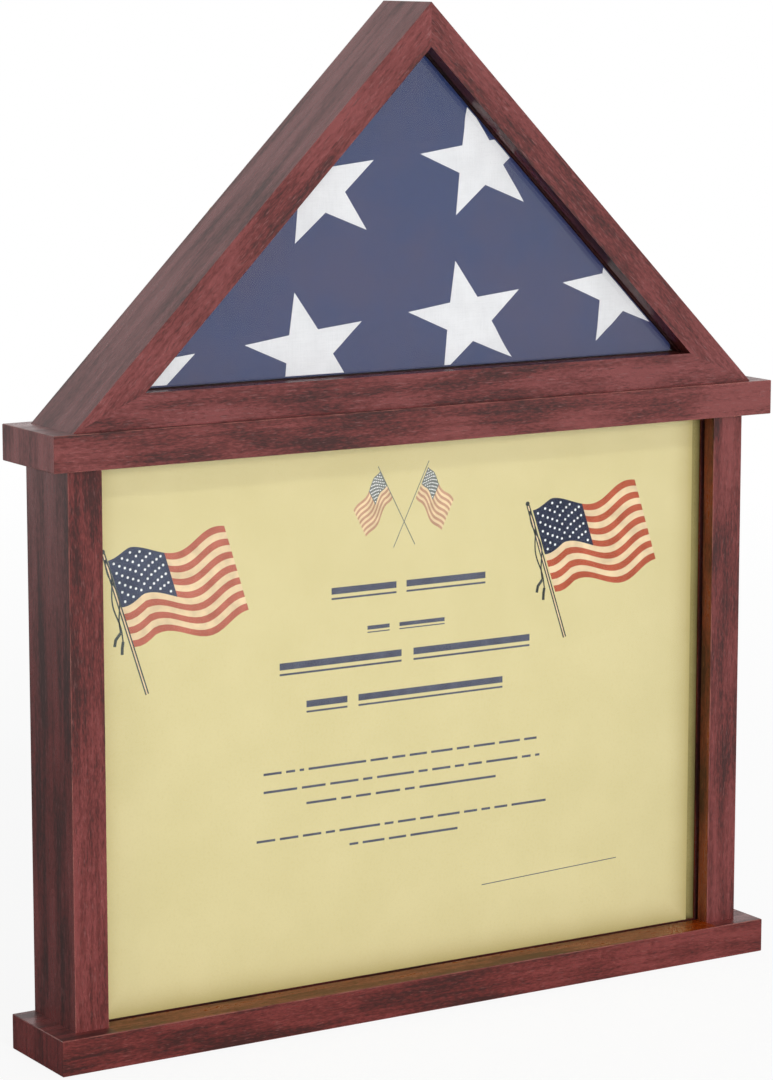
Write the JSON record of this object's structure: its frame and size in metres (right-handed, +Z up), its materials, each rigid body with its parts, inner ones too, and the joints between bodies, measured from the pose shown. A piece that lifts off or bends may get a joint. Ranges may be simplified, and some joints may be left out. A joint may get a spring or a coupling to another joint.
{
  "type": "folded flag and certificate display case",
  "caption": "Free-standing wooden display case: a triangular glazed flag case on a mantel board above a glazed certificate bay, with lift-out backs held by turn buttons.",
  "frame": {"origin": "on the underside of the base board, in the middle of the overall width and depth", "axes": "+X to the viewer's right, +Y from the glazed front to the back, +Z up"},
  "size_m": [0.331, 0.0452, 0.4005],
  "materials": {
    "mahogany": "mahogany stain under satin lacquer",
    "pane": "clear polished sheet",
    "parchment": "matte parchment-coloured paper",
    "card": "matte tan mount board",
    "plain_wood": "bare sawn softwood",
    "flag_cloth": "navy cotton with white stars",
    "hardboard": "smooth brown hardboard",
    "brass": "satin plated",
    "steel": "zinc plated"
  },
  "bodies": {
    "case": {"base_board": "mahogany", "left_post": "mahogany", "right_post": "mahogany", "mantel_board": "mahogany", "left_rafter": "mahogany", "right_rafter": "mahogany", "sill": "mahogany", "certificate_glass": "pane", "flag_glass": "pane", "certificate": "parchment", "certificate_backing": "card", "left_spacer": "plain_wood", "right_spacer": "plain_wood", "folded_flag": "flag_cloth", "certificate_back_panel": "hardboard", "flag_back_panel": "hardboard", "button_screws": "steel", "base_screws": "steel", "mantel_screws": "steel", "sill_screws": "steel", "mitre_nails": "steel"},
    "lower_left_button": {"button_lower_left": "brass"},
    "lower_right_button": {"button_lower_right": "brass"},
    "upper_left_button": {"button_upper_left": "brass"},
    "upper_right_button": {"button_upper_right": "brass"},
    "rafter_left_button": {"button_rafter_left": "brass"},
    "rafter_right_button": {"button_rafter_right": "brass"},
    "sill_button": {"button_sill": "brass"}
  },
  "joints": [
    {"name": "lower_left_button_turn", "type": "hinge", "parent": "case", "child": "lower_left_button", "pos_m": [-0.15115, 0.02025, 0.054], "axis": [0, 1, 0], "continuous": true},
    {"name": "lower_right_button_turn", "type": "hinge", "parent": "case", "child": "lower_right_button", "pos_m": [0.15115, 0.02025, 0.054], "axis": [0, 1, 0], "continuous": true},
    {"name": "upper_left_button_turn", "type": "hinge", "parent": "case", "child": "upper_left_button", "pos_m": [-0.15115, 0.02025, 0.1902], "axis": [0, 1, 0], "continuous": true},
    {"name": "upper_right_button_turn", "type": "hinge", "parent": "case", "child": "upper_right_button", "pos_m": [0.15115, 0.02025, 0.1902], "axis": [0, 1, 0], "continuous": true},
    {"name": "rafter_left_button_turn", "type": "hinge", "parent": "case", "child": "rafter_left_button", "pos_m": [-0.07525, 0.01545, 0.31945], "axis": [0, 1, 0], "continuous": true},
    {"name": "rafter_right_button_turn", "type": "hinge", "parent": "case", "child": "rafter_right_button", "pos_m": [0.07525, 0.01545, 0.31945], "axis": [0, 1, 0], "continuous": true},
    {"name": "sill_button_turn", "type": "hinge", "parent": "case", "child": "sill_button", "pos_m": [0, 0.01545, 0.2488], "axis": [0, 1, 0], "range_deg": [-90, 90]}
  ]
}
